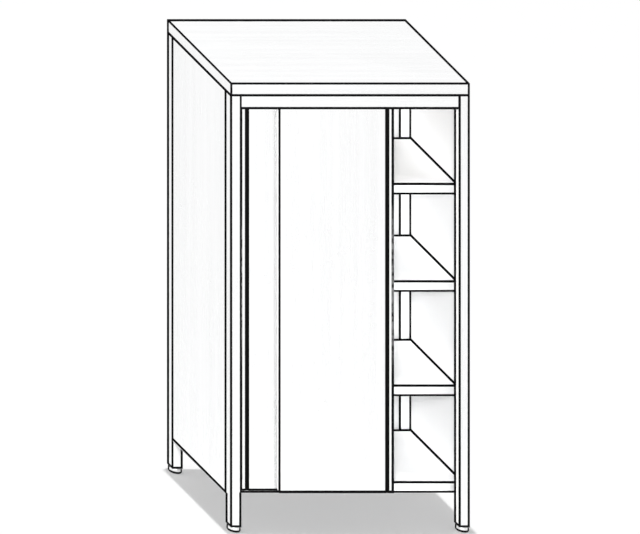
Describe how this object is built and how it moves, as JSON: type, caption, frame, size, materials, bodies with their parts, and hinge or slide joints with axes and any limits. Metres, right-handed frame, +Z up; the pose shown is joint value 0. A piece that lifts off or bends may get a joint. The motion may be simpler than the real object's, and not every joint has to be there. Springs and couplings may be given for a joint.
{
  "type": "dish storage cabinet",
  "caption": "Tall stainless steel dish cabinet on square legs with levelling feet, with inside shelves behind hung sliding doors with full-height grip grooves.",
  "frame": {"origin": "on the floor at the middle of the footprint", "axes": "+X to the right along the front, +Y to the back, +Z up; the doors face -Y"},
  "size_m": [1.007, 0.507, 1.878],
  "materials": {
    "frame_steel": "stainless square tube, ground and brushed along its length",
    "sheet_steel": "stainless sheet, fine satin grain",
    "door_steel": "stainless sheet, fine satin grain running up the door",
    "inner_steel": "stainless sections, mill finish",
    "fastener_steel": "turned stainless steel",
    "foot_steel": "turned and polished stainless cups",
    "grip_plastic": "black extruded plastic, finely ribbed",
    "plug_plastic": "dark grey glass-filled nylon",
    "nylon": "natural nylon, turned",
    "stop_rubber": "black rubber",
    "top_chipboard": "laminated chipboard",
    "door_honeycomb": "kraft paper honeycomb"
  },
  "bodies": {
    "cabinet": {"leg_front_left": "frame_steel", "leg_front_right": "frame_steel", "leg_rear_left": "frame_steel", "leg_rear_right": "frame_steel", "leg_top_plates": "inner_steel", "leg_plugs": "plug_plastic", "top_pan": "sheet_steel", "top_board": "top_chipboard", "top_stiffeners": "inner_steel", "top_rail_left": "inner_steel", "top_rail_right": "inner_steel", "top_rail_rear": "inner_steel", "top_screws": "fastener_steel", "header": "sheet_steel", "door_track": "inner_steel", "track_stops": "stop_rubber", "side_panel_left": "sheet_steel", "side_panel_right": "sheet_steel", "back_panel": "sheet_steel", "base_shelf": "sheet_steel", "shelf_lower": "sheet_steel", "shelf_middle": "sheet_steel", "shelf_upper": "sheet_steel", "shelf_stiffeners": "inner_steel", "shelf_supports": "inner_steel", "guide_plate": "inner_steel", "guide_pins": "nylon", "guide_screws": "fastener_steel"},
    "front_door": {"front_door_skin": "door_steel", "front_door_back": "door_steel", "front_door_core": "door_honeycomb", "front_door_grip": "grip_plastic", "front_door_top_channel": "inner_steel", "front_door_bottom_channel": "inner_steel", "front_door_hangers": "inner_steel", "front_door_hanger_screws": "fastener_steel", "front_door_axles": "fastener_steel"},
    "rear_door": {"rear_door_skin": "door_steel", "rear_door_back": "door_steel", "rear_door_core": "door_honeycomb", "rear_door_grip": "grip_plastic", "rear_door_top_channel": "inner_steel", "rear_door_bottom_channel": "inner_steel", "rear_door_hangers": "inner_steel", "rear_door_hanger_screws": "fastener_steel", "rear_door_axles": "fastener_steel"},
    "front_door_roller_left": {"front_door_roller_left": "nylon"},
    "front_door_roller_right": {"front_door_roller_right": "nylon"},
    "rear_door_roller_left": {"rear_door_roller_left": "nylon"},
    "rear_door_roller_right": {"rear_door_roller_right": "nylon"},
    "foot_front_left": {"foot_pad_front_left": "foot_steel", "foot_stem_front_left": "fastener_steel"},
    "foot_front_right": {"foot_pad_front_right": "foot_steel", "foot_stem_front_right": "fastener_steel"},
    "foot_rear_left": {"foot_pad_rear_left": "foot_steel", "foot_stem_rear_left": "fastener_steel"},
    "foot_rear_right": {"foot_pad_rear_right": "foot_steel", "foot_stem_rear_right": "fastener_steel"}
  },
  "joints": [
    {"name": "front_door_slide", "type": "slide", "parent": "cabinet", "child": "front_door", "axis": [1, 0, 0], "range_m": [-0.1585, 0.2685]},
    {"name": "rear_door_slide", "type": "slide", "parent": "cabinet", "child": "rear_door", "axis": [1, 0, 0], "range_m": [-0.005, 0.422]},
    {"name": "front_door_roller_left_spin", "type": "hinge", "parent": "front_door", "child": "front_door_roller_left", "pos_m": [-0.235, -0.2365, 1.8103], "axis": [0, 1, 0], "continuous": true},
    {"name": "front_door_roller_right_spin", "type": "hinge", "parent": "front_door", "child": "front_door_roller_right", "pos_m": [0.125, -0.2365, 1.8103], "axis": [0, 1, 0], "continuous": true},
    {"name": "rear_door_roller_left_spin", "type": "hinge", "parent": "rear_door", "child": "rear_door_roller_left", "pos_m": [-0.3885, -0.2165, 1.8103], "axis": [0, 1, 0], "continuous": true},
    {"name": "rear_door_roller_right_spin", "type": "hinge", "parent": "rear_door", "child": "rear_door_roller_right", "pos_m": [-0.0285, -0.2165, 1.8103], "axis": [0, 1, 0], "continuous": true},
    {"name": "foot_front_left_screw", "type": "slide", "parent": "cabinet", "child": "foot_front_left", "axis": [0, 0, -1], "range_m": [0, 0.03]},
    {"name": "foot_front_right_screw", "type": "slide", "parent": "cabinet", "child": "foot_front_right", "axis": [0, 0, -1], "range_m": [0, 0.03]},
    {"name": "foot_rear_left_screw", "type": "slide", "parent": "cabinet", "child": "foot_rear_left", "axis": [0, 0, -1], "range_m": [0, 0.03]},
    {"name": "foot_rear_right_screw", "type": "slide", "parent": "cabinet", "child": "foot_rear_right", "axis": [0, 0, -1], "range_m": [0, 0.03]}
  ],
  "couplings": [
    {"joint": "front_door_roller_left_spin", "follows": "front_door_slide", "rad_per_m": 114.94},
    {"joint": "front_door_roller_right_spin", "follows": "front_door_slide", "rad_per_m": 114.94},
    {"joint": "rear_door_roller_left_spin", "follows": "rear_door_slide", "rad_per_m": 114.94},
    {"joint": "rear_door_roller_right_spin", "follows": "rear_door_slide", "rad_per_m": 114.94}
  ]
}
